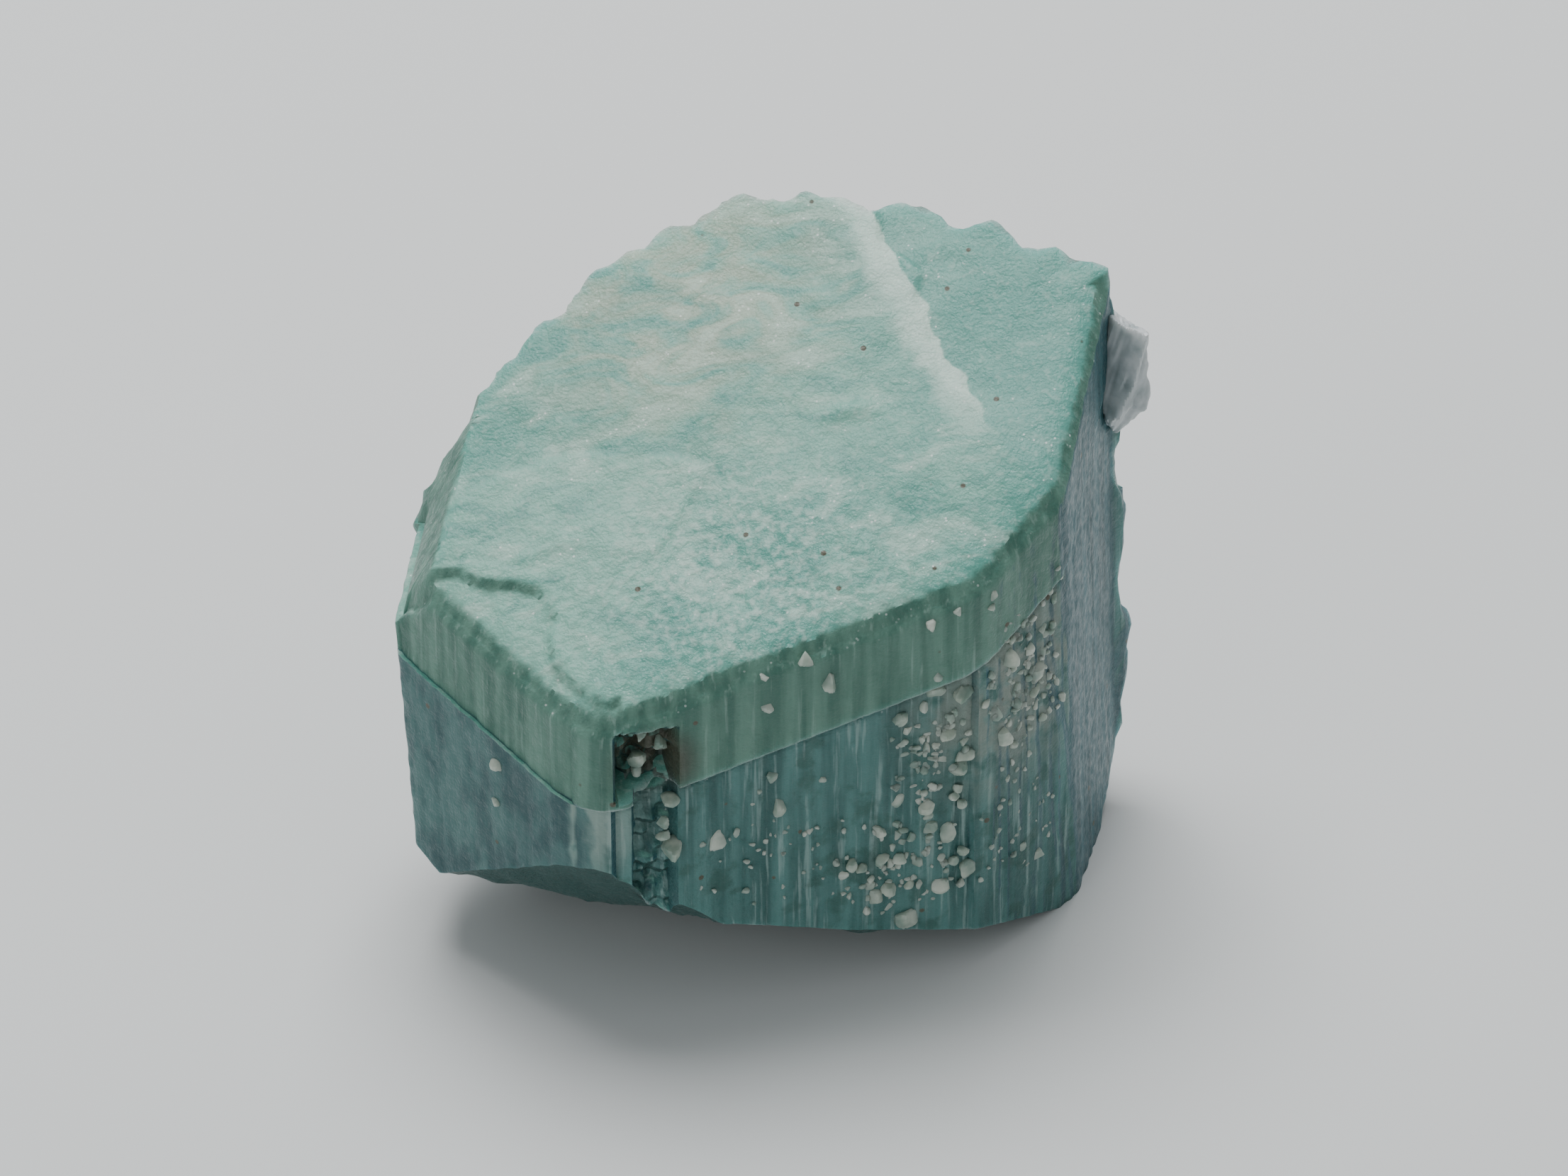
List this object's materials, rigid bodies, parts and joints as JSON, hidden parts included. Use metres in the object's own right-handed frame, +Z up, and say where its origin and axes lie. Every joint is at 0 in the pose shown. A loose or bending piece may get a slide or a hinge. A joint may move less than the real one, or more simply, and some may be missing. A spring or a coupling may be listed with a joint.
{
  "type": "rough amazonite crystal",
  "caption": "Rough blue-green feldspar crystal: a stubby prism with a slanting cleaved top, an etched front, pale grains grown on it and a flat spot to rest on.",
  "frame": {"origin": "centre of the bounding box in plan, at the level the stone rests on", "axes": "+Z up as it rests, +X along the longest extent, -Y towards the side the picture shows"},
  "size_m": [0.0286, 0.021, 0.0252],
  "materials": {
    "amazonite": "natural cleavage and etched faces, translucent, slightly sugary gloss"
  },
  "bodies": {
    "root": {"amazonite_crystal": "amazonite"}
  },
  "joints": []
}
